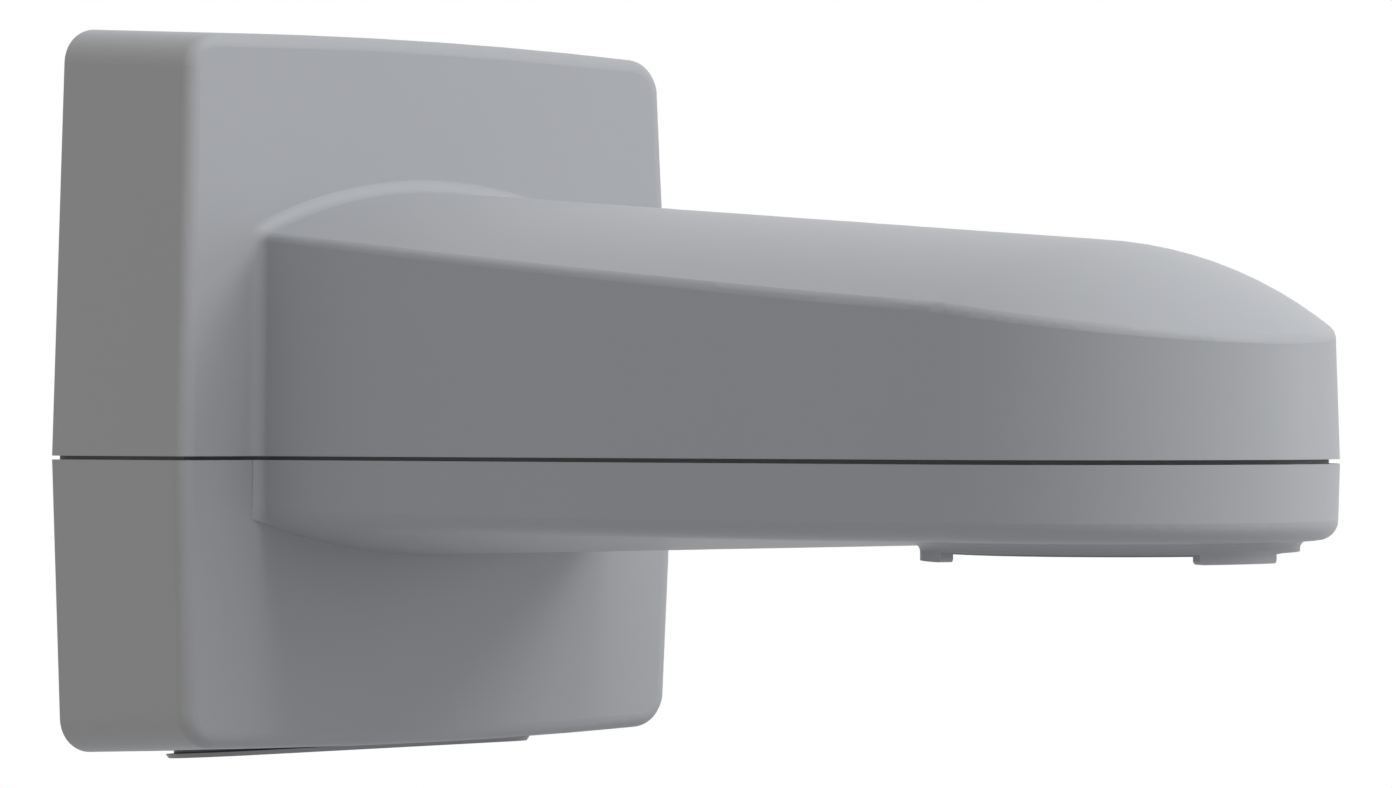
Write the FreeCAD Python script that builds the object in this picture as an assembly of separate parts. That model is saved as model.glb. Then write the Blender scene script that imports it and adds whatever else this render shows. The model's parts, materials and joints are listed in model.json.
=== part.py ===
import FreeCAD, Part
import math
import os

# Pendant bracket for a security camera: a wall box and a hollow arm, cast in two halves that meet
# on one level seam, on a wall plate. X runs across the wall, the arm reaches along -Y and Z is up.
# Heights in the code are measured from the seam. At the end everything is lowered, so that the
# origin is the centre of the four wall screws, on the wall.
V = FreeCAD.Vector

# Wall box
box_width = 175.0          # at the seam, where it is widest
box_depth = 72.3           # wall to front face, at the seam
roof_height = 119.0        # seam to the roof's front edge
floor_drop = 81.0          # seam to the floor's front edge
roof_slope = 5.0           # degrees, the roof falls towards the front
floor_slope = 4.0          # degrees, the floor rises towards the front
roof_bow = 2.0             # rise of the roof between its corners
floor_bow = 1.8
corner_radius = 10.4       # of the box seen from the front
front_round = 4.3          # between the front face and the sides
side_draft = 2.0           # degrees, the faces lean in away from the seam
front_draft = 1.45

# Arm
arm_root_width = 124.0     # where it leaves the box
tip_radius = 54.8
tip_reach = 355.3          # wall to the upright axis of the tip
arm_draft = 1.8
ridge_root = 77.1          # top of the arm at the box and at the tip
ridge_tip = 53.3
ridge_radius_root = 137.0  # crown of its top, across the arm
ridge_radius_tip = 94.5
keel_root = 28.3           # underside of the arm on its middle line
keel_tip = 19.4
keel_radius_root = 190.0
keel_radius_tip = 1900.0
crown_end = 2.2            # the tip's crown is turned about a line this far behind its axis
shoulder_round = 3.0       # edges between the arm's sides and its top and underside
chine_round = 4.9
root_round = 3.8           # hollow round between the arm and the box

# Castings and the seam between them
wall = 5.0
seam_gap = 1.1             # open joint between the two castings
seam_recess = 2.6          # from the outer edge to the gasket
rib_width = 3.0
roof_rib_drop = 9.0        # depth of the stiffening ribs below the skin
floor_rib_rise = 5.0
box_rib_pitch = 38.0
arm_rib_pitch = 30.0
arm_rib_end = 305.0        # from the wall

# Wall plate
plate_thickness = 6.0
plate_gap = 0.5            # around the plate, inside the box
wall_screw_pitch_x = 100.0
wall_screw_pitch_z = 160.0
wall_screw_height = 20.0   # centre of the wall screws above the seam
wall_screw_hole = 7.0      # diameter, for M6
wall_boss_radius = 10.0
wall_boss_rise = 1.5
cable_hole_radius = 20.0   # in the plate, for the grommet
grommet_bore_radius = 14.0
grommet_lip = 4.0
grommet_lip_thickness = 2.0
wall_seal_inset = 5.0
wall_seal_width = 4.0
wall_seal_depth = 1.5

# Screws that hold the upper casting to the plate
lug_inset = 21.5           # from the box's side to the screw
lug_spread = box_width - 2 * lug_inset
lug_low = 36.0             # height of the lower and upper pairs above the seam
lug_high = 84.0
lug_radius = 8.0
lug_depth = 8.0
plate_screw_size = 6.0
plate_screw_length = 13.0

# Screws that draw the castings together, driven from below
box_screw_inset = 21.5     # from the box's side to the screw
box_screw_spread_x = box_width - 2 * box_screw_inset
box_screw_rear = 18.0      # from the wall
box_screw_front = box_depth - 17.3
box_screw_size = 5.0
box_screw_seat = 40.0      # seat of the head below the seam
arm_screw_rows = (128.0, 222.0)  # on the arm's middle line, from the wall
arm_screw_size = 5.0
arm_screw_seat = 9.0
tip_screw_size = 4.0
tip_screw_circle = 35.2    # radius about the tip's axis
tip_screw_angles = (60.0, 135.0)  # each side of the foremost point
tip_screw_seat = 8.0
screw_bite = 14.0          # length of screw above the seam
boss_rise = 20.0           # height of the tapped bosses above the seam
boss_wall = 3.2            # metal round a counterbore
web_width = 5.0            # between a boss and the casting's side
web_reach = 42.0           # far enough to meet the casting's side
arm_web_length = 26.0      # of the fin along each boss on the arm's middle line

# Camera seat under the tip
pad_radius = 45.3
pad_drop = 21.4            # seam to the pad's face
pad_round = 1.9
tab_drop = 2.3             # the three tabs below the pad's face
tab_thickness = 3.3
tab_count = 3
tab_span = 32.0            # degrees
tab_round = 1.0
outlet_radius = 20.0       # cable outlet, and inside of the bayonet ring
collar_radius = 33.0       # thickened floor round the outlet
collar_rise = 4.0          # above the arm's floor
ring_radius = 30.0
ring_thickness = 2.5
lug_room_radius = 23.4     # room above the ring where the camera's lugs turn
lug_room_depth = 3.0
notch_radius = 22.8
notch_span = 25.0          # degrees
notch_count = 3
ring_screw_circle = 26.3
ring_screw_size = 3.0
ring_screw_length = 8.0
camera_seal_radius = 40.8
camera_seal_width = 2.0
camera_seal_depth = 1.4
camera_seal_proud = 0.5

# Conduit inlet in the box's floor, with its cover
inlet_length = 92.0
inlet_width = 16.0
inlet_from_wall = 25.5
facing_depth = 0.3         # the land is faced this far into the bowed floor
cover_length = 123.0
cover_width = 35.0
cover_thickness = 1.3
cover_bevel = 0.9
inlet_gasket_thickness = 0.4
inlet_land_inset = 2.4     # the gasket and its land, inside the cover's edge
inlet_screw_spread = 108.0
inlet_screw_size = 3.0
inlet_screw_length = 7.0

# Hook for the camera's safety wire
hook_length = 42.0
hook_width = 13.0
hook_thickness = 2.5
hook_eye_radius = 4.0
hook_from_axis = 56.0      # its screw, behind the tip's axis
hook_post_radius = 5.5
hook_post_rise = 6.0
hook_screw_size = 5.0
hook_screw_bite = 7.0

# Cable clamp and earth screw on the wall plate
clamp_height = 62.0        # above the seam
clamp_span = 44.0          # across its feet
clamp_screw_spread = 32.0
clamp_width = 12.0
clamp_thickness = 1.6
clamp_arch = 9.0
clamp_post_radius = 5.0
clamp_post_rise = 5.0
clamp_screw_size = 4.0
clamp_screw_length = 9.0
earth_x = 34.0
earth_height = -44.0
earth_boss_rise = 1.5
earth_screw_size = 5.0
earth_screw_length = 7.5
washer_thickness = 1.2
washer_radius = 5.2

# Clearances
thread_gap = 0.12          # round a screw in its tapped hole
shank_gap = 0.3            # round a screw in its clearance hole
head_gap = 0.4             # round a head in its counterbore
seat_gap = 0.2             # round a ring or plug in its recess

# Far enough to cut right through
beyond = 400.0


def tan(degrees):
    return math.tan(math.radians(degrees))


def cylinder(radius, height, at=V(0, 0, 0), axis=V(0, 0, 1)):
    return Part.makeCylinder(radius, height, at, axis)


def slab(x0, x1, y0, y1, z0, z1):
    return Part.makeBox(x1 - x0, y1 - y0, z1 - z0, V(x0, y0, z0))


def join(shapes):
    return shapes[0].fuse(shapes[1:]).removeSplitter()


def flip(shape):
    return shape.mirror(V(0, 0, 0), V(0, 0, 1))


def put(shape, at, axis=V(0, 0, 1)):
    placed = shape.copy()
    placed.Placement = FreeCAD.Placement(at, FreeCAD.Rotation(V(0, 0, 1), axis))
    return placed


def round_edges(shape, radius, chosen):
    edges = [e for e in shape.Edges if chosen(e, e.valueAt((e.FirstParameter + e.LastParameter) / 2))]
    return shape.makeFillet(radius, edges)


# The two halves share one form, so each is built standing on the seam and the lower one is flipped.
upper_half = {
    "height": roof_height, "slope": roof_slope, "bow": roof_bow,
    "peak_root": ridge_root, "peak_tip": ridge_tip, "edge_round": shoulder_round,
    "radius_root": ridge_radius_root, "radius_tip": ridge_radius_tip, "ease": 1.3, "sharp_keel": False,
    "fall": math.atan((ridge_root - ridge_tip) / (tip_reach - crown_end - box_depth))}
lower_half = {
    "height": floor_drop, "slope": floor_slope, "bow": floor_bow,
    "peak_root": keel_root, "peak_tip": keel_tip, "edge_round": chine_round,
    "radius_root": keel_radius_root, "radius_tip": keel_radius_tip, "ease": 1.0, "sharp_keel": True,
    "fall": 0.0}

# The arm's sides are straight and run tangent into the round tip.
arm_length = tip_reach - box_depth
taper = (math.acos(tip_radius / math.hypot(arm_root_width / 2, arm_length))
         - math.atan2(arm_length, arm_root_width / 2))


def arm_half_width(from_wall, inset=0.0):
    return (tip_radius - inset + (tip_reach - from_wall) * math.sin(taper)) / math.cos(taper)


def box_profile(half, from_wall, inset):
    # Outline of one half across the box, at a distance from the wall
    height = half["height"] + (box_depth - from_wall) * tan(half["slope"]) - inset
    foot = box_width / 2 - inset
    top = foot - height * tan(side_draft)
    left = V(-top, -from_wall, height)
    right = V(top, -from_wall, height)
    start = V(-foot, -from_wall, 0)
    end = V(foot, -from_wall, 0)
    crown = Part.Arc(left, V(0, -from_wall, height + half["bow"]), right)
    lines = [Part.LineSegment(start, left), crown, Part.LineSegment(right, end), Part.LineSegment(end, start)]
    return Part.Wire([line.toShape() for line in lines])


def box_form(half, inset, rear=0.0):
    # One half of the box, standing on the seam. The rear edge may lie behind the wall plane.
    front = box_depth - inset
    form = Part.makeLoft([box_profile(half, rear, inset), box_profile(half, box_depth + 1, inset)], True, True)
    top = 2 * half["height"]
    side = Part.makePolygon([V(-beyond, -rear, 0), V(-beyond, -front, 0),
                             V(-beyond, -front + top * tan(front_draft), top), V(-beyond, -rear, top),
                             V(-beyond, -rear, 0)])
    form = form.common(Part.Face(side).extrude(V(2 * beyond, 0, 0)))

    def along_the_box(edge, middle):
        return abs(edge.BoundBox.YLength) > box_depth / 2 and middle.z > half["height"] / 2
    return round_edges(form, max(corner_radius - inset, wall / 2), along_the_box)


def on_front_face(middle):
    return abs(middle.y + box_depth - middle.z * tan(front_draft)) < 0.01 and middle.z > 0.01


def arm_outline(level, inset):
    # Plan of the arm at a level, with its draft
    shrink = inset + level * tan(arm_draft)
    start = box_depth - 2 * wall
    foot = arm_half_width(start, shrink)
    radius = tip_radius - shrink
    side = V(radius * math.cos(taper), -tip_reach - radius * math.sin(taper), level)
    other = V(-side.x, side.y, level)
    nose = V(0, -tip_reach - radius, level)
    near = V(foot, -start, level)
    far = V(-foot, -start, level)
    lines = [Part.LineSegment(near, side), Part.Arc(side, nose, other),
             Part.LineSegment(other, far), Part.LineSegment(far, near)]
    return Part.Wire([line.toShape() for line in lines])


def crown_form(half, inset):
    # Everything under the arm's crowned top: a loft along the arm, and a dome turned at the tip
    length = arm_length - crown_end
    fall = half["fall"]
    lean = V(0, -math.sin(fall), math.cos(fall))
    foot = -12.0
    reach = arm_root_width / 2 + 2

    def section(share):
        # Point across the section, x from its middle and z along the lean
        blend = 1 - (1 - share) ** half["ease"] if share > 0 else share * half["ease"]
        curve = (1 - blend) / half["radius_root"] + blend / half["radius_tip"]
        radius = 1 / curve
        peak = half["peak_root"] + (half["peak_tip"] - half["peak_root"]) * share
        top = V(0, -box_depth - length * share, peak)

        def point(x, drop):
            return top + V(x, 0, 0) - lean * drop

        def surface(x):
            return point(x, radius - math.sqrt((radius - inset) ** 2 - x ** 2))
        return point, surface, peak

    wires = []
    for share in (-0.04, 0.2, 0.4, 0.6, 0.8, 0.9, 1.0):
        point, surface, peak = section(share)
        low = (peak - foot) / math.cos(fall)
        lines = [Part.Arc(surface(-reach), surface(0), surface(reach)),
                 Part.LineSegment(surface(reach), point(reach, low)),
                 Part.LineSegment(point(reach, low), point(-reach, low)),
                 Part.LineSegment(point(-reach, low), surface(-reach))]
        wires.append(Part.Wire([line.toShape() for line in lines]))
    body = Part.makeLoft(wires, True, False)
    middle = point(0, low)
    rim = [Part.Arc(surface(0), surface(reach / 2), surface(reach)),
           Part.LineSegment(surface(reach), point(reach, low)),
           Part.LineSegment(point(reach, low), middle), Part.LineSegment(middle, surface(0))]
    dome = Part.Face(Part.Wire([line.toShape() for line in rim])).revolve(middle, lean, -180)
    return body.fuse(dome)


def arm_form(half, inset):
    top = half["peak_root"] + 2 * wall
    prism = Part.makeLoft([arm_outline(0, inset), arm_outline(top, inset)], True, True)
    return prism.common(crown_form(half, inset)).removeSplitter()


def outer_form(half):
    # Skin of one half, with its outer rounds
    box = round_edges(box_form(half, 0), front_round, lambda edge, middle: on_front_face(middle))
    arm = arm_form(half, 0)

    def rim(edge, middle):
        # The rim is where the crown meets the drafted side, so it follows the plan's outline
        for share in (0.1, 0.5, 0.9):
            p = edge.valueAt(edge.FirstParameter + share * (edge.LastParameter - edge.FirstParameter))
            from_side = arm_half_width(-p.y) - abs(p.x)
            if p.y < -tip_reach:
                from_side = tip_radius - math.hypot(p.x, p.y + tip_reach)
            if p.z < 1 or from_side > p.z * tan(arm_draft) + 0.5:
                return False
        return edge.BoundBox.ZLength < 0.9 * edge.Length
    arm = round_edges(arm, half["edge_round"], rim)
    form = box.fuse(arm).removeSplitter()

    def at_the_root(edge, middle):
        near_arm = abs(middle.x) < arm_root_width / 2 + 1 and middle.z < half["peak_root"] + 2
        return near_arm and on_front_face(middle)
    rounded = round_edges(form, root_round, at_the_root)
    if not half["sharp_keel"]:
        return rounded
    # Under the arm the box meets the keel in a sharp corner, so only the upright rounds are kept
    return form.fuse(rounded.common(crown_form(half, 0))).removeSplitter()


def hollow(half, inset):
    return box_form(half, inset, -1.0).fuse(arm_form(half, inset)).removeSplitter()


def counterbore_radius(size):
    return 0.85 * size + head_gap


def screw_places():
    # Plan position, size and seat depth of each screw that is driven from below
    places = []
    for x in (-box_screw_spread_x / 2, box_screw_spread_x / 2):
        for from_wall in (box_screw_rear, box_screw_front):
            places.append(("box", x, -from_wall, box_screw_size, box_screw_seat))
    for from_wall in arm_screw_rows:
        places.append(("arm", 0, -from_wall, arm_screw_size, arm_screw_seat))
    for turn in tip_screw_angles:
        for hand in (-1, 1):
            angle = math.radians(hand * turn)
            x = tip_screw_circle * math.sin(angle)
            y = -tip_reach - tip_screw_circle * math.cos(angle)
            places.append(("tip", x, y, tip_screw_size, tip_screw_seat))
    return places


def bosses(height):
    # Columns round the screws. A web ties each to the casting's side, but those on the arm's middle
    # line run on to its skin and have a fin along the arm. All meet their fellows in the other
    # casting at the seam's middle, and the webs keep out of it.
    columns = []
    for group, x, y, size, seat in screw_places():
        radius = counterbore_radius(size) + boss_wall
        if height < beyond:
            radius = size / 2 + boss_wall
        top = beyond if group == "arm" else height
        columns.append(cylinder(radius, top, V(x, y, 0)))
        start = -arm_web_length / 2 if group == "arm" else 0
        end = arm_web_length / 2 if group == "arm" else web_reach
        angle = 0 if x > 0 else 180
        if group == "arm":
            angle = 90
        if group == "tip":
            angle = math.degrees(math.atan2(y + tip_reach, x))
        web = slab(start, end, -web_width / 2, web_width / 2, seam_gap / 2, top)
        web.rotate(V(0, 0, 0), V(0, 0, 1), angle)
        web.translate(V(x, y, 0))
        columns.append(web)
    return join(columns)


def ribs(half, depth):
    # Ribs that run along the skin of the box and the arm, and follow its inner face
    lines = []
    for hand in (-1, 0, 1):
        x = hand * box_rib_pitch
        lines.append(slab(x - rib_width / 2, x + rib_width / 2, -box_depth + wall / 2,
                          -plate_thickness - 4 * plate_gap, 0, beyond))
    in_box = Part.makeCompound(lines).common(box_form(half, wall - 1)).cut(box_form(half, wall + depth, -1.0))
    # The ribs on the front wall stop at the arm's mouth, so the cables have a clear way
    mouth = slab(-arm_root_width / 2, arm_root_width / 2, -box_depth, -box_depth + 2 * wall + depth,
                 0, half["peak_root"])
    in_box = in_box.cut(mouth)
    lines = []
    for hand in (-1, 1):
        x = hand * arm_rib_pitch
        lines.append(slab(x - rib_width / 2, x + rib_width / 2, -arm_rib_end, -box_depth + wall / 2, 0, beyond))
    in_arm = Part.makeCompound(lines).common(arm_form(half, wall - 1)).cut(arm_form(half, wall + depth))
    clear_of_box = slab(-beyond, beyond, -box_depth + wall, 0, 0, beyond)
    return [in_box, in_arm.cut(clear_of_box)]


def upper_housing():
    skin = outer_form(upper_half).cut(hollow(upper_half, wall))
    skin = skin.cut(slab(-beyond, beyond, -2 * beyond, beyond, -1, seam_gap / 2))
    within = hollow(upper_half, wall - 1)
    inside = bosses(boss_rise).common(within)
    lugs = []
    for hand in (-1, 1):
        for height in (lug_low, lug_high):
            at = V(hand * lug_spread / 2, -plate_thickness, height)
            lugs.append(cylinder(lug_radius, lug_depth, at, V(0, -1, 0)))
            far = at.x + hand * 3 * lug_radius
            web = slab(min(at.x, far), max(at.x, far), -plate_thickness - lug_depth, -plate_thickness,
                       height - web_width, height + web_width)
            lugs.append(web)
    lugs = join(lugs).common(within)
    body = join([skin, inside, lugs] + ribs(upper_half, roof_rib_drop))
    for group, x, y, size, seat in screw_places():
        body = body.cut(cylinder(size / 2 + thread_gap, screw_bite + 2, V(x, y, 0)))
    for hand in (-1, 1):
        for height in (lug_low, lug_high):
            at = V(hand * lug_spread / 2, 0, height)
            body = body.cut(cylinder(plate_screw_size / 2 + shank_gap, 4 * lug_depth, at, V(0, -1, 0)))
    return body


def floor_frame():
    # Placement of the flat land under the box: its origin is on the land, below the middle of the floor
    rise = floor_drop + (box_depth - inlet_from_wall) * tan(floor_slope) + floor_bow - facing_depth
    place = FreeCAD.Placement(V(0, -inlet_from_wall, -rise), FreeCAD.Rotation(V(1, 0, 0), -floor_slope))
    return place


def on_floor(shape):
    placed = shape.copy()
    placed.Placement = floor_frame().multiply(placed.Placement)
    return placed


def obround(length, width, low, high, bevel=0.0):
    # A slab with round ends, its lower edge bevelled where asked
    def outline(level, inset):
        half = (length - width) / 2
        radius = width / 2 - inset
        corners = [V(-half, radius, level), V(half, radius, level), V(half, -radius, level),
                   V(-half, -radius, level)]
        lines = [Part.LineSegment(corners[0], corners[1]),
                 Part.Arc(corners[1], V(half + radius, 0, level), corners[2]),
                 Part.LineSegment(corners[2], corners[3]),
                 Part.Arc(corners[3], V(-half - radius, 0, level), corners[0])]
        return Part.Wire([line.toShape() for line in lines])
    if bevel:
        return Part.makeLoft([outline(low, bevel), outline(high, 0)], True, True)
    return Part.Face(outline(low, 0)).extrude(V(0, 0, high - low))


def pad_tabs():
    tabs = []
    for number in range(tab_count):
        section = slab(pad_radius - tab_thickness, pad_radius, -0.01, 0, -pad_drop - tab_drop, -pad_drop + 1)
        face = max(section.Faces, key=lambda f: f.CenterOfMass.y)
        tab = face.revolve(V(0, 0, 0), V(0, 0, 1), tab_span)
        low = -pad_drop - tab_drop

        def lower_corner(edge, middle):
            return abs(middle.z - low) < 0.01 and abs(edge.Length - tab_thickness) < 0.01
        tab = round_edges(tab, tab_round, lower_corner)
        tab.rotate(V(0, 0, 0), V(0, 0, 1), -90 - tab_span / 2 + number * 360 / tab_count)
        tab.translate(V(0, -tip_reach, 0))
        tabs.append(tab)
    return tabs


def lower_housing():
    axis = V(0, -tip_reach, 0)
    skin = flip(outer_form(lower_half))
    pad = cylinder(pad_radius, pad_drop - keel_tip / 2, axis - V(0, 0, pad_drop))
    skin = skin.fuse(pad).removeSplitter()

    def under_the_pad(edge, middle):
        from_axis = math.hypot(middle.x, middle.y + tip_reach)
        return abs(from_axis - pad_radius) < 0.05 and -pad_drop + 0.3 < middle.z < -keel_tip / 2 - 1
    skin = round_edges(skin, pad_round, under_the_pad)
    land = on_floor(obround(cover_length - 2 * inlet_land_inset, cover_width - 2 * inlet_land_inset,
                            0, 2 * floor_bow))
    facing = on_floor(obround(cover_length + 2 * seat_gap, cover_width + 2 * seat_gap, -2 * floor_bow, 0))
    skin = join([skin, land] + pad_tabs()).cut(facing)
    skin = skin.cut(flip(hollow(lower_half, wall)))
    skin = skin.cut(slab(-beyond, beyond, -2 * beyond, beyond, -seam_gap / 2, 1))
    within = flip(hollow(lower_half, wall - 1))
    columns = flip(bosses(beyond)).common(within)
    floor = flip(arm_form(lower_half, wall + collar_rise))
    collar = cylinder(collar_radius, pad_drop, axis - V(0, 0, pad_drop)).cut(floor).common(within)
    root = V(0, 0, hook_post_rise + wall / 2)
    post = cylinder(hook_post_radius, root.z, hook_seat() - root)
    rib = Part.makeCompound(ribs(lower_half, floor_rib_rise))
    rib = flip(rib)
    body = join([skin, columns, collar, post, rib])
    body = body.cut(cylinder(outlet_radius, 2 * pad_drop, axis - V(0, 0, 2 * pad_drop)))
    seat = cylinder(ring_radius + seat_gap, ring_thickness, axis - V(0, 0, pad_drop))
    room = cylinder(lug_room_radius, ring_thickness + lug_room_depth, axis - V(0, 0, pad_drop))
    groove = cylinder(camera_seal_radius + camera_seal_width / 2, camera_seal_depth, axis - V(0, 0, pad_drop))
    core = cylinder(camera_seal_radius - camera_seal_width / 2, camera_seal_depth, axis - V(0, 0, pad_drop))
    body = body.cut(join([seat, room])).cut(groove.cut(core))
    for at in ring_screw_places():
        body = body.cut(cylinder(ring_screw_size / 2 + thread_gap, ring_screw_length + 1, at))
    tapped = V(0, 0, hook_screw_bite + 1)
    body = body.cut(cylinder(hook_screw_size / 2 + thread_gap, tapped.z, hook_seat() - tapped))
    body = body.cut(on_floor(obround(inlet_length, inlet_width, -beyond, beyond)))
    for hand in (-1, 1):
        tapped = cylinder(inlet_screw_size / 2 + thread_gap, 2 * inlet_screw_length,
                          V(hand * inlet_screw_spread / 2, 0, -inlet_screw_length))
        body = body.cut(on_floor(tapped))
    for group, x, y, size, seat in screw_places():
        body = body.cut(cylinder(size / 2 + shank_gap, beyond, V(x, y, -beyond)))
        body = body.cut(cylinder(counterbore_radius(size), beyond, V(x, y, -seat - beyond)))
    return body


def seam_slab(inset, low, high, rear):
    # The seam's plan set in from the outer edge, as a slab between two levels
    half = box_width / 2 - inset
    front = box_depth - inset
    plan = Part.Face(arm_outline(0, inset)).extrude(V(0, 0, high - low))
    plan.translate(V(0, 0, low))
    plan = plan.fuse(slab(-half, half, -front, rear, low, high)).removeSplitter()
    foot = arm_half_width(front, inset)

    def hollow_corner(edge, middle):
        return abs(abs(middle.x) - foot) < 0.01 and abs(middle.y + front) < 0.01 and edge.BoundBox.ZLength > 0.1
    return round_edges(plan, root_round + inset, hollow_corner)


def seam_gasket():
    outer = seam_slab(seam_recess, -seam_gap / 2, seam_gap / 2, 0)
    return outer.cut(seam_slab(wall, -seam_gap, seam_gap, 1))


def plate_blank(inset, thickness):
    # Outline of the box's inside, both halves, as a plate on the wall
    halves = box_form(upper_half, inset, -1.0).fuse(flip(box_form(lower_half, inset, -1.0)))
    return halves.removeSplitter().common(slab(-beyond, beyond, -thickness, 0, -beyond, beyond))


def wall_screw_places():
    return [V(hand * wall_screw_pitch_x / 2, 0, wall_screw_height + level * wall_screw_pitch_z / 2)
            for hand in (-1, 1) for level in (-1, 1)]


def wall_plate():
    into_room = V(0, -1, 0)
    front = V(0, -plate_thickness, 0)
    parts = [plate_blank(wall + plate_gap, plate_thickness)]
    for at in wall_screw_places():
        parts.append(cylinder(wall_boss_radius, plate_thickness + wall_boss_rise, at, into_room))
    for hand in (-1, 1):
        at = V(hand * clamp_screw_spread / 2, 0, clamp_height)
        parts.append(cylinder(clamp_post_radius, plate_thickness + clamp_post_rise, at, into_room))
    earth = V(earth_x, 0, earth_height)
    parts.append(cylinder(washer_radius + 1, plate_thickness + earth_boss_rise, earth, into_room))
    plate = join(parts)
    for at in wall_screw_places():
        plate = plate.cut(cylinder(wall_screw_hole / 2, beyond, at + V(0, 1, 0), into_room))
    cable = V(0, 1, wall_screw_height)
    lip_depth = grommet_lip_thickness + seat_gap
    plate = plate.cut(cylinder(cable_hole_radius, beyond, cable, into_room))
    plate = plate.cut(cylinder(cable_hole_radius + grommet_lip + seat_gap, lip_depth + 1, cable, into_room))
    for hand in (-1, 1):
        for height in (lug_low, lug_high):
            at = V(hand * lug_spread / 2, 1, height)
            plate = plate.cut(cylinder(plate_screw_size / 2 + thread_gap, beyond, at, into_room))
        at = V(hand * clamp_screw_spread / 2, -plate_thickness / 2, clamp_height)
        plate = plate.cut(cylinder(clamp_screw_size / 2 + thread_gap, beyond, at, into_room))
    at = earth + front / 6
    plate = plate.cut(cylinder(earth_screw_size / 2 + thread_gap, beyond, at, into_room))
    return plate.cut(wall_seal())


def wall_seal():
    outer = wall + plate_gap + wall_seal_inset
    return plate_blank(outer, wall_seal_depth).cut(plate_blank(outer + wall_seal_width, 2 * wall_seal_depth))


def cable_grommet():
    # A turned rubber ring with a lip on each face of the plate
    web = plate_thickness - grommet_lip_thickness - seat_gap
    neck = cable_hole_radius - seat_gap
    lip = cable_hole_radius + grommet_lip
    rear = -seat_gap
    step = rear - grommet_lip_thickness
    far = step - web
    points = [V(grommet_bore_radius, rear, 0), V(lip, rear, 0), V(lip, step, 0), V(neck, step, 0),
              V(neck, far, 0), V(lip, far, 0), V(lip - grommet_lip_thickness / 2, far - grommet_lip_thickness, 0),
              V(grommet_bore_radius, far - grommet_lip_thickness, 0), V(grommet_bore_radius, rear, 0)]
    ring = Part.Face(Part.makePolygon(points)).revolve(V(0, 0, 0), V(0, 1, 0), 360)
    ring.translate(V(0, 0, wall_screw_height))
    return ring


def cap_screw(size, length):
    # Its head seats at z = 0 and the shank points up
    head = 0.85 * size
    edge = 0.08 * size
    points = [V(0, 0, -size), V(head - edge, 0, -size), V(head, 0, -size + edge), V(head, 0, 0),
              V(size / 2, 0, 0), V(size / 2, 0, length - edge), V(size / 2 - edge, 0, length), V(0, 0, length),
              V(0, 0, -size)]
    screw = Part.Face(Part.makePolygon(points)).revolve(V(0, 0, 0), V(0, 0, 1), 360)
    return screw.cut(hexagon(0.8 * size, size / 2, -size))


def flat_screw(size, length):
    # Its head is flush at z = 0 and the shank points up
    head = 0.94 * size
    edge = 0.08 * size
    points = [V(0, 0, 0), V(head, 0, 0), V(head, 0, edge), V(size / 2, 0, edge + head - size / 2),
              V(size / 2, 0, length - edge), V(size / 2 - edge, 0, length), V(0, 0, length), V(0, 0, 0)]
    screw = Part.Face(Part.makePolygon(points)).revolve(V(0, 0, 0), V(0, 0, 1), 360)
    return screw.cut(hexagon(0.6 * size, 0.4 * size, 0))


def flat_screw_seat(size):
    # The countersink that a flat screw sits in, and its clearance hole
    head = 0.94 * size + thread_gap
    edge = 0.08 * size
    shank = size / 2 + thread_gap
    points = [V(0, 0, -1), V(head, 0, -1), V(head, 0, edge), V(shank, 0, edge + head - shank),
              V(shank, 0, 4 * size), V(0, 0, 4 * size), V(0, 0, -1)]
    return Part.Face(Part.makePolygon(points)).revolve(V(0, 0, 0), V(0, 0, 1), 360)


def hexagon(across, depth, level):
    radius = across / math.sqrt(3)
    corners = [V(radius * math.cos(math.radians(60 * n)), radius * math.sin(math.radians(60 * n)), level)
               for n in range(7)]
    return Part.Face(Part.makePolygon(corners)).extrude(V(0, 0, depth))


def driven_from_below(group_name):
    screws = []
    for group, x, y, size, seat in screw_places():
        if group == group_name:
            screws.append(put(cap_screw(size, seat + screw_bite), V(x, y, -seat)))
    return Part.makeCompound(screws)


def plate_screws():
    screws = []
    for hand in (-1, 1):
        for height in (lug_low, lug_high):
            at = V(hand * lug_spread / 2, -plate_thickness - lug_depth, height)
            screws.append(put(cap_screw(plate_screw_size, plate_screw_length), at, V(0, 1, 0)))
    return Part.makeCompound(screws)


def inlet_gasket():
    length = cover_length - 2 * inlet_land_inset
    width = cover_width - 2 * inlet_land_inset
    sheet = obround(length, width, -inlet_gasket_thickness, 0)
    sheet = sheet.cut(obround(inlet_length, inlet_width, -1, 1))
    for hand in (-1, 1):
        at = V(hand * inlet_screw_spread / 2, 0, -1)
        sheet = sheet.cut(cylinder(0.6 * inlet_screw_size + thread_gap, 2, at))
    return on_floor(sheet)


def cover_screw_places():
    low = -inlet_gasket_thickness - cover_thickness
    return [V(hand * inlet_screw_spread / 2, 0, low) for hand in (-1, 1)]


def inlet_cover():
    low = -inlet_gasket_thickness - cover_thickness
    sheet = obround(cover_length, cover_width, low, -inlet_gasket_thickness, cover_bevel)
    lip = obround(inlet_length - 2 * seat_gap, inlet_width - 2 * seat_gap, low + cover_thickness / 2, wall / 2)
    pocket = obround(inlet_length - 2 * cover_width / 10, inlet_width - 2 * cover_width / 10,
                     -inlet_gasket_thickness, wall)
    cover = join([sheet, lip.cut(pocket)])
    for at in cover_screw_places():
        cover = cover.cut(put(flat_screw_seat(inlet_screw_size), at))
    return on_floor(cover)


def inlet_screws():
    screws = [put(flat_screw(inlet_screw_size, inlet_screw_length), at) for at in cover_screw_places()]
    return on_floor(Part.makeCompound(screws))


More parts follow.
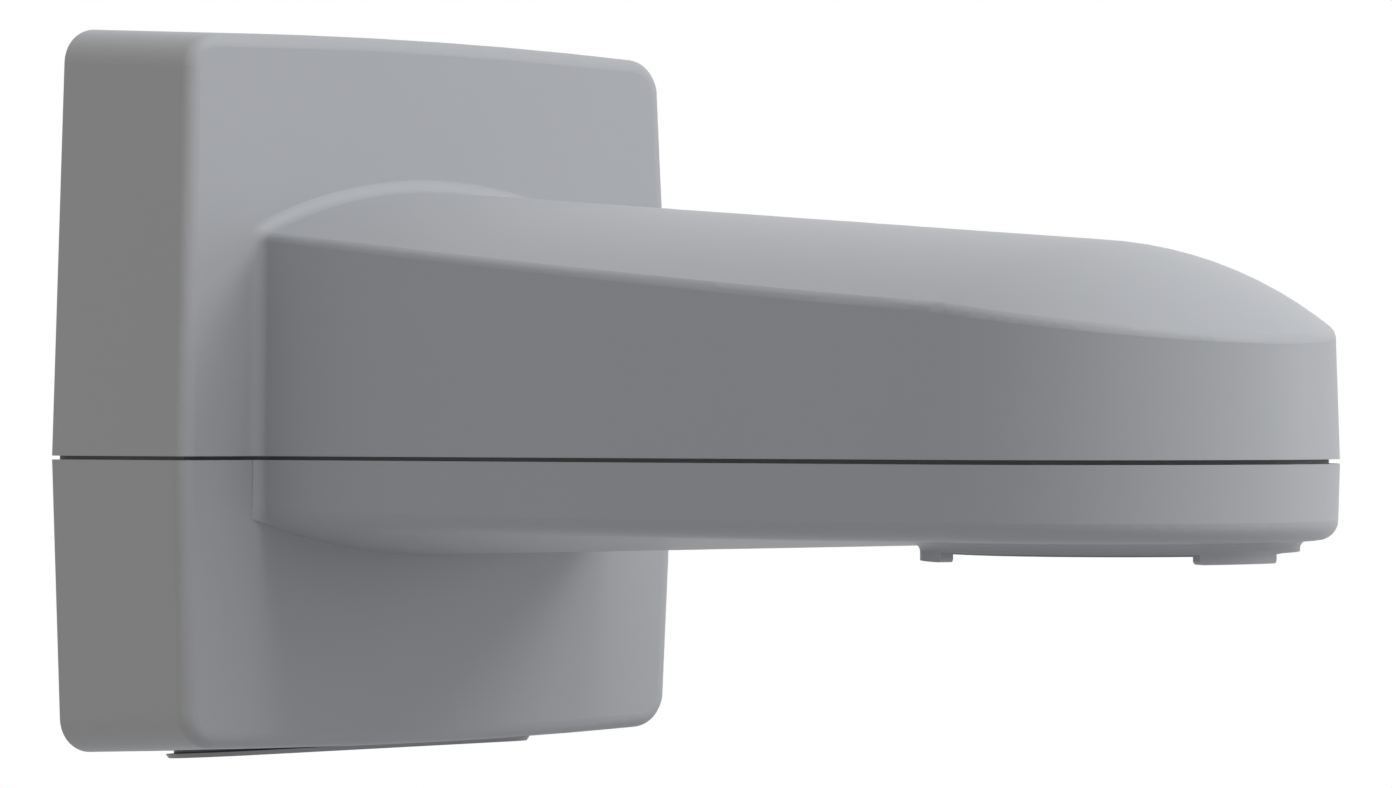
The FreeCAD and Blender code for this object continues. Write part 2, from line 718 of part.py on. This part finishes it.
def ring_screw_places():
    places = []
    for number in range(notch_count):
        angle = math.radians(-90 + (number + 0.5) * 360 / notch_count)
        places.append(V(ring_screw_circle * math.cos(angle), -tip_reach + ring_screw_circle * math.sin(angle),
                        -pad_drop))
    return places


def bayonet_ring():
    at = V(0, -tip_reach, -pad_drop)
    ring = cylinder(ring_radius, ring_thickness, at).cut(cylinder(outlet_radius, ring_thickness, at))
    for number in range(notch_count):
        section = slab(outlet_radius - 1, notch_radius, -0.01, 0, -1, ring_thickness + 1)
        face = max(section.Faces, key=lambda f: f.CenterOfMass.y)
        notch = face.revolve(V(0, 0, 0), V(0, 0, 1), notch_span)
        notch.rotate(V(0, 0, 0), V(0, 0, 1), -90 - notch_span / 2 + number * 360 / notch_count)
        notch.translate(at)
        ring = ring.cut(notch)
    for place in ring_screw_places():
        ring = ring.cut(put(flat_screw_seat(ring_screw_size), place))
    return ring


def bayonet_screws():
    return Part.makeCompound([put(flat_screw(ring_screw_size, ring_screw_length), at)
                              for at in ring_screw_places()])


def camera_seal():
    # A cord ring with a rounded lip that stands proud of the pad's face
    inner = camera_seal_radius - camera_seal_width / 2 + seat_gap / 2
    outer = camera_seal_radius + camera_seal_width / 2 - seat_gap / 2
    top = -pad_drop + camera_seal_depth
    face = -pad_drop
    corners = [V(inner, 0, face), V(inner, 0, top), V(outer, 0, top), V(outer, 0, face)]
    lip = Part.Arc(corners[3], V(camera_seal_radius, 0, face - camera_seal_proud), corners[0])
    lines = [Part.LineSegment(corners[n], corners[n + 1]) for n in range(3)] + [lip]
    section = Part.Face(Part.Wire([line.toShape() for line in lines]))
    ring = section.revolve(V(0, 0, 0), V(0, 0, 1), 360)
    ring.translate(V(0, -tip_reach, 0))
    return ring


def hook_seat():
    # Top of the hook's post: above the floor on the arm's middle line
    share = (arm_length - hook_from_axis) / (arm_length - crown_end)
    keel = keel_root + (keel_tip - keel_root) * share
    return V(0, -tip_reach + hook_from_axis, -keel + wall + hook_post_rise)


def safety_hook():
    # A steel strip from its post to an eye above the outlet
    half = hook_width / 2
    strip = obround(hook_length, hook_width, 0, hook_thickness)
    strip.rotate(V(0, 0, 0), V(0, 0, 1), 90)
    strip.translate(V(0, -hook_length / 2 + half, 0))
    strip = strip.cut(cylinder(hook_screw_size / 2 + shank_gap, hook_thickness))
    eye = V(0, -hook_length + hook_width, 0)
    strip = strip.cut(cylinder(hook_eye_radius, hook_thickness, eye))
    strip.translate(hook_seat())
    return strip


def safety_hook_screw():
    at = hook_seat() + V(0, 0, hook_thickness)
    return put(cap_screw(hook_screw_size, hook_thickness + hook_screw_bite), at, V(0, 0, -1))


def clamp_screw_places():
    rise = plate_thickness + clamp_post_rise + clamp_thickness
    return [V(hand * clamp_screw_spread / 2, -rise, clamp_height) for hand in (-1, 1)]


def cable_clamp():
    # A pressed saddle: two feet on the plate's posts and an arch over the cable
    seat = -plate_thickness - clamp_post_rise
    low = clamp_height - clamp_width / 2
    bar = slab(-clamp_span / 2, clamp_span / 2, seat - clamp_thickness, seat, low, low + clamp_width)
    arch = cylinder(clamp_arch + clamp_thickness, clamp_width, V(0, seat, low))
    arch = arch.common(slab(-beyond, beyond, -beyond, seat, low, low + clamp_width))
    saddle = join([bar, arch]).cut(cylinder(clamp_arch, clamp_width, V(0, seat, low)))
    for at in clamp_screw_places():
        saddle = saddle.cut(cylinder(clamp_screw_size / 2 + shank_gap, 2 * clamp_thickness,
                                     at - V(0, clamp_thickness / 2, 0), V(0, 1, 0)))
    return saddle


def clamp_screws():
    return Part.makeCompound([put(cap_screw(clamp_screw_size, clamp_screw_length), at, V(0, 1, 0))
                              for at in clamp_screw_places()])


def earth_place():
    return V(earth_x, -plate_thickness - earth_boss_rise, earth_height)


def earth_washer():
    disc = cylinder(washer_radius, washer_thickness, earth_place(), V(0, -1, 0))
    return disc.cut(cylinder(earth_screw_size / 2 + shank_gap, washer_thickness, earth_place(), V(0, -1, 0)))


def earth_screw():
    return put(cap_screw(earth_screw_size, earth_screw_length), earth_place() - V(0, washer_thickness, 0),
               V(0, 1, 0))


nodes = {
    "upper_housing": upper_housing(),
    "lower_housing": lower_housing(),
    "seam_gasket": seam_gasket(),
    "wall_plate": wall_plate(),
    "wall_seal": wall_seal(),
    "cable_grommet": cable_grommet(),
    "plate_screws": plate_screws(),
    "box_screws": driven_from_below("box"),
    "arm_screws": driven_from_below("arm"),
    "tip_screws": driven_from_below("tip"),
    "inlet_gasket": inlet_gasket(),
    "inlet_cover": inlet_cover(),
    "inlet_screws": inlet_screws(),
    "bayonet_ring": bayonet_ring(),
    "bayonet_screws": bayonet_screws(),
    "camera_seal": camera_seal(),
    "safety_hook": safety_hook(),
    "safety_hook_screw": safety_hook_screw(),
    "cable_clamp": cable_clamp(),
    "clamp_screws": clamp_screws(),
    "earth_washer": earth_washer(),
    "earth_screw": earth_screw(),
}

os.makedirs("parts", exist_ok=True)
for name, shape in nodes.items():
    shape = shape.copy()
    shape.translate(V(0, 0, -wall_screw_height))
    shape.exportStep("parts/" + name + ".step")
    print(name, "solids", len(shape.Solids), "valid", shape.isValid(), "volume", round(shape.Volume, 1))
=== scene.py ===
import json
import math

import bpy
from mathutils import Matrix, Vector

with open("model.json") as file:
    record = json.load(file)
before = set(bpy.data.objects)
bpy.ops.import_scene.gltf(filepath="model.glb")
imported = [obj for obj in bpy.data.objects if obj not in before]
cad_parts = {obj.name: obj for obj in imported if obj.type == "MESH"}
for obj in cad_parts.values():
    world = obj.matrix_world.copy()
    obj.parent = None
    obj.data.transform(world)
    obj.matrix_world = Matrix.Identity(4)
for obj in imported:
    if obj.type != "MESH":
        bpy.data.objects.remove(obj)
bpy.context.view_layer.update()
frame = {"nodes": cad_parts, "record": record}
nodes = frame["nodes"]
scene = bpy.context.scene
scene.view_settings.view_transform = "Standard"
print("stage: frame loaded,", len(nodes), "nodes")


class Wire:
    # a socket in a material, so that an expression on it adds its own Math nodes
    def __init__(self, net, socket):
        self.net = net
        self.socket = socket

    def maths(self, operation, first, second):
        return self.net.node("ShaderNodeMath", {"operation": operation}, {0: first, 1: second})

    def __add__(self, other): return self.maths("ADD", self, other)
    def __radd__(self, other): return self.maths("ADD", other, self)
    def __sub__(self, other): return self.maths("SUBTRACT", self, other)
    def __rsub__(self, other): return self.maths("SUBTRACT", other, self)
    def __mul__(self, other): return self.maths("MULTIPLY", self, other)
    def __rmul__(self, other): return self.maths("MULTIPLY", other, self)
    def clipped(self): return self.maths("MINIMUM", self.maths("MAXIMUM", self, 0.0), 1.0)


class Net:
    # the nodes of one material or of the world
    def __init__(self, tree):
        self.tree = tree
        self.tree.nodes.clear()

    def node(self, kind, settings=None, values=None, out=0):
        # values go by the names or numbers of the sockets, and out is the socket handed back
        made = self.tree.nodes.new(kind)
        for name, value in (settings or {}).items():
            setattr(made, name, value)
        for name, value in (values or {}).items():
            if isinstance(value, Wire):
                self.tree.links.new(value.socket, made.inputs[name])
            else:
                made.inputs[name].default_value = value
        return Wire(self, made.outputs[out]) if made.outputs else None

    def mix(self, share, first, second, blend="MIX"):
        # colours: share 0 gives the first, 1 the second or the two blended
        settings = {"data_type": "RGBA", "blend_type": blend}
        return self.node("ShaderNodeMix", settings, {0: share, 6: first, 7: second}, 2)

    def place(self):
        return self.node("ShaderNodeTexCoord", out="Object")

    def split(self, vector, axis):
        # one of a vector's x, y and z, counted 0, 1 and 2
        return self.node("ShaderNodeSeparateXYZ", {}, {0: vector}, axis)

    def noise(self, scale, detail=3.0, rough=0.6, where=None):
        # grains per metre, around 0.5
        sockets = {"Vector": where or self.place(), "Scale": scale, "Detail": detail, "Roughness": rough}
        return self.node("ShaderNodeTexNoise", {}, sockets)

    def bump(self, height, strength, distance, normal=None):
        sockets = {"Height": height, "Strength": strength, "Distance": distance}
        if normal:
            sockets["Normal"] = normal
        return self.node("ShaderNodeBump", {}, sockets)

    def pale(self):
        # 1 where the camera sees the surface itself, or by a reflection or through glass
        rays = [self.node("ShaderNodeLightPath", out=name)
                for name in ("Is Camera Ray", "Is Glossy Ray", "Is Transmission Ray")]
        return (rays[0] + rays[1] + rays[2]).clipped()


def newMaterial(name):
    material = bpy.data.materials.new(name)
    material.use_nodes = True
    return material, Net(material.node_tree)


def shade(net, **values):
    sockets = {name.replace("_", " "): value for name, value in values.items()}
    surface = net.node("ShaderNodeBsdfPrincipled", {}, sockets)
    net.node("ShaderNodeOutputMaterial", {}, {"Surface": surface})


def tinted(level, tint=(1.0, 1.0, 1.0)):
    return (level * tint[0], level * tint[1], level * tint[2], 1.0)


# powder coat on the castings: an even cool grey, with a fine orange peel and a little dust in it
paint = {
    "level": 0.392, "tint": (0.972, 1.0, 1.057), "roughness": 0.47, "specular": 0.22, "relief": 0.5,
    "drift": 0.012, "driftScale": 9.0, "driftContrast": 2.4, "driftGloss": 0.05,
    "peelScale": 620.0, "peelRough": 0.55, "peelDepth": 0.00003, "peelGloss": 0.08,
    "grainScale": 2600.0, "grainDepth": 0.000012,
    "dustLevel": 0.8, "dustShare": 0.05, "dustContrast": 3.0}
# the cover's coat is set at a darker level than the castings' coat
darkPaint = dict(paint, level=0.3)    # the same coat on the inlet cover

# painted warm light on the wall box's sides, which shows them as a plain grey: how far they reach from the
# wall and over what length the painted light fades out there, in metres, and from how far sideways a face
# has to look
boxSideWarmLight = {"reach": 0.0735, "fade": 0.002, "sideways": 0.45, "sharpness": 3.0}


def paintedWarmLightOnBoxSide(net):
    # where warm light is painted: 1 on the box's left and right sides, 0 elsewhere
    nearWall = ((net.split(net.place(), 1) + boxSideWarmLight["reach"]) * (1 / boxSideWarmLight["fade"])).clipped()
    normal = net.node("ShaderNodeNewGeometry", out="Normal")
    sideways = net.node("ShaderNodeMath", {"operation": "ABSOLUTE"}, {0: net.split(normal, 0)})
    return nearWall * ((sideways - boxSideWarmLight["sideways"]) * boxSideWarmLight["sharpness"]).clipped()


def paintMaterial(name, look):
    material, net = newMaterial(name)
    drift = net.noise(look["driftScale"], rough=0.5)
    peel = net.noise(look["peelScale"], detail=2.0, rough=look["peelRough"])
    grain = net.noise(look["grainScale"])
    light = tinted(look["level"] * (1 + look["drift"]), look["tint"])
    deep = tinted(look["level"] * (1 - look["drift"]), look["tint"])
    dust = tinted(look["level"] * look["dustLevel"], look["tint"])
    # painted warm light on the box's sides: a colour that takes the paint's cool tint out
    paintedWarmLightGrey = tinted(1.0, [1 / part for part in look["tint"]])    # takes the tint out again
    colour = net.mix((drift - 0.5) * look["driftContrast"] + 0.5, deep, light)
    dusty = ((grain - 0.5) * look["dustContrast"] + 0.5).clipped() * look["dustShare"]
    colour = net.mix(dusty, colour, dust)
    # painted warm light turns the box's sides from the cool grey to a plain grey
    colour = net.mix(paintedWarmLightOnBoxSide(net), colour, paintedWarmLightGrey, "MULTIPLY")
    roughness = look["roughness"] + (peel - 0.5) * look["peelGloss"] + (drift - 0.5) * look["driftGloss"]
    normal = net.bump(peel, look["relief"], look["peelDepth"])
    normal = net.bump(grain, look["relief"], look["grainDepth"], normal)
    shade(net, Base_Color=colour, Roughness=roughness, Normal=normal,
          Specular_IOR_Level=look["specular"])
    return material


# raw metals: a blasted casting, turned and pressed stainless steel, and brass
metals = {
    "plateCasting": {"level": 0.5, "tint": (1.0, 1.0, 1.0), "roughness": 0.55, "scale": 900.0,
                     "depth": 0.00006, "brush": 1.0},
    "screwSteel": {"level": 0.56, "tint": (1.005, 1.0, 0.986), "roughness": 0.32, "scale": 1500.0,
                   "depth": 0.00001, "brush": 1.0},
    "sheetSteel": {"level": 0.54, "tint": (1.008, 1.0, 0.98), "roughness": 0.36, "scale": 700.0,
                   "depth": 0.000012, "brush": 14.0},
    "earthBrass": {"level": 0.55, "tint": (1.15, 1.0, 0.58), "roughness": 0.34, "scale": 900.0,
                   "depth": 0.00001, "brush": 6.0}}

# what all the metals share: duller stains in patches, and how far grain and stains change the gloss
wear = {"stainScale": 60.0, "stainFrom": 0.35, "stainContrast": 1.6, "dull": 0.82, "detail": 4.0,
        "grainGloss": 0.16, "stainGloss": 0.14, "relief": 0.6}


def metalMaterial(name):
    look = metals[name]
    material, net = newMaterial(name)
    stretch = (1.0, look["brush"], look["brush"])
    where = net.node("ShaderNodeVectorMath", {"operation": "MULTIPLY"}, {0: net.place(), 1: stretch})
    grain = net.noise(look["scale"] / look["brush"], wear["detail"], where=where)
    stain = net.noise(wear["stainScale"], wear["detail"])
    clean = tinted(look["level"], look["tint"])
    dull = tinted(look["level"] * wear["dull"], look["tint"])
    colour = net.mix((stain - wear["stainFrom"]) * wear["stainContrast"], clean, dull)
    roughness = look["roughness"] + (grain - 0.5) * wear["grainGloss"] + (stain - 0.5) * wear["stainGloss"]
    shade(net, Base_Color=colour, Metallic=1.0, Roughness=roughness,
          Normal=net.bump(grain, wear["relief"], look["depth"]))
    return material


# grey gasket rubber, with a dull bloom
rubber = {"level": 0.17, "roughness": 0.62, "scale": 1200.0, "depth": 0.00004, "relief": 0.6,
          "grainGloss": 0.2, "bloom": 1.3, "bloomScale": 40.0, "bloomFrom": 0.4, "bloomContrast": 1.8}


def rubberMaterial(name, look):
    material, net = newMaterial(name)
    grain = net.noise(look["scale"])
    bloom = net.noise(look["bloomScale"])
    share = (bloom - look["bloomFrom"]) * look["bloomContrast"]
    colour = net.mix(share, tinted(look["level"]), tinted(look["level"] * look["bloom"]))
    roughness = look["roughness"] + (grain - 0.5) * look["grainGloss"]
    shade(net, Base_Color=colour, Roughness=roughness,
          Normal=net.bump(grain, look["relief"], look["depth"]))
    return material


slots = {
    "casting_paint": paintMaterial("castingPaint", paint),
    "cover_paint": paintMaterial("coverPaint", darkPaint),
    "plate_casting": metalMaterial("plateCasting"),
    "screw_steel": metalMaterial("screwSteel"),
    "sheet_steel": metalMaterial("sheetSteel"),
    "earth_brass": metalMaterial("earthBrass"),
    "gasket_rubber": rubberMaterial("gasketRubber", rubber)}

slotOf = {part["node"]: part["material_slot"] for part in frame["record"]["subparts"]}
for name, piece in nodes.items():
    piece.data.materials.clear()
    piece.data.materials.append(slots[slotOf[name]])
print("stage: materials set")


# camera at the photo's viewing angle: turn from the wall's normal, pitch and roll in degrees
view = {
    "place": (-0.71907, -1.12020, -0.01394), "lens": 112.73, "sensor": 36.0,
    "turn": 37.8185, "pitch": 0.556, "roll": 0.0385, "nearest": 0.05, "furthest": 60.0}
camera = bpy.data.objects.new("photoCamera", bpy.data.cameras.new("photoCamera"))
camera.data.lens = view["lens"]
camera.data.sensor_width = view["sensor"]
camera.data.clip_start = view["nearest"]
camera.data.clip_end = view["furthest"]
aim = (Matrix.Rotation(math.radians(-view["turn"]), 4, "Z")
       @ Matrix.Rotation(math.radians(90 + view["pitch"]), 4, "X")    # an unturned camera looks down
       @ Matrix.Rotation(math.radians(-view["roll"]), 4, "Z"))
camera.matrix_world = Matrix.Translation(view["place"]) @ aim
scene.collection.objects.link(camera)
scene.camera = camera


# soft lamps round the front: turn to the right of the arm and rise above it, in degrees
lamps = {
    "key": {"turn": 30.0, "rise": 35.0, "width": 1.2, "power": 21.0},
    "top": {"turn": 0.0, "rise": 60.0, "width": 1.2, "power": 27.0},
    "side": {"turn": 60.0, "rise": 10.0, "width": 1.2, "power": 9.6}}
lampDistance = 2.6
middle = Vector((0.0, -0.2, 0.0))    # of the bracket, where the lamps point
for name, lamp in lamps.items():
    light = bpy.data.objects.new(name + "Lamp", bpy.data.lights.new(name + "Lamp", "AREA"))
    light.data.shape = "DISK"
    light.data.size = lamp["width"]
    light.data.energy = lamp["power"]
    turn = math.radians(lamp["turn"])
    rise = math.radians(lamp["rise"])
    way = Vector((math.sin(turn) * math.cos(rise), -math.cos(turn) * math.cos(rise), math.sin(rise)))
    facing = way.to_track_quat("Z", "Y").to_matrix().to_4x4()
    light.matrix_world = Matrix.Translation(middle + way * lampDistance) @ facing
    scene.collection.objects.link(light)

# even light from all round, and a white background for the camera, gloss and glass
room = {"ambient": 0.43, "background": 1.0}
world = bpy.data.worlds.new("studio")
world.use_nodes = True
scene.world = world
net = Net(world.node_tree)
strength = room["ambient"] + net.pale() * (room["background"] - room["ambient"])
sky = net.node("ShaderNodeBackground", {}, {"Color": tinted(1.0), "Strength": strength})
net.node("ShaderNodeOutputWorld", {}, {"Surface": sky})


# pale paper under the bracket, which the camera sees nearly white
ground = {"level": -0.42, "reach": 1.4, "colour": 0.54, "fibreScale": 180.0, "fibreSpread": 0.03,
          "glow": 0.8}
reach = ground["reach"]
corners = [(x, middle.y + y, ground["level"])
           for x, y in ((-reach, -reach), (reach, -reach), (reach, reach), (-reach, reach))]
mesh = bpy.data.meshes.new("studioFloor")
mesh.from_pydata(corners, [], [(0, 1, 2, 3)])
floor = bpy.data.objects.new("studioFloor", mesh)
scene.collection.objects.link(floor)
material, net = newMaterial("floorPaper")
darkFibre = tinted(ground["colour"] * (1 - ground["fibreSpread"]))
paleFibre = tinted(ground["colour"] * (1 + ground["fibreSpread"]))
fibre = net.noise(ground["fibreScale"], detail=4.0)
matte = net.node("ShaderNodeBsdfDiffuse", {}, {"Color": net.mix(fibre, darkFibre, paleFibre)})
glow = net.node("ShaderNodeEmission", {}, {"Color": tinted(1.0), "Strength": 1.0})
paper = net.node("ShaderNodeMixShader", {}, {0: net.pale() * ground["glow"], 1: matte, 2: glow})
net.node("ShaderNodeOutputMaterial", {}, {"Surface": paper})
floor.data.materials.append(material)
print("stage: camera, light and floor set")
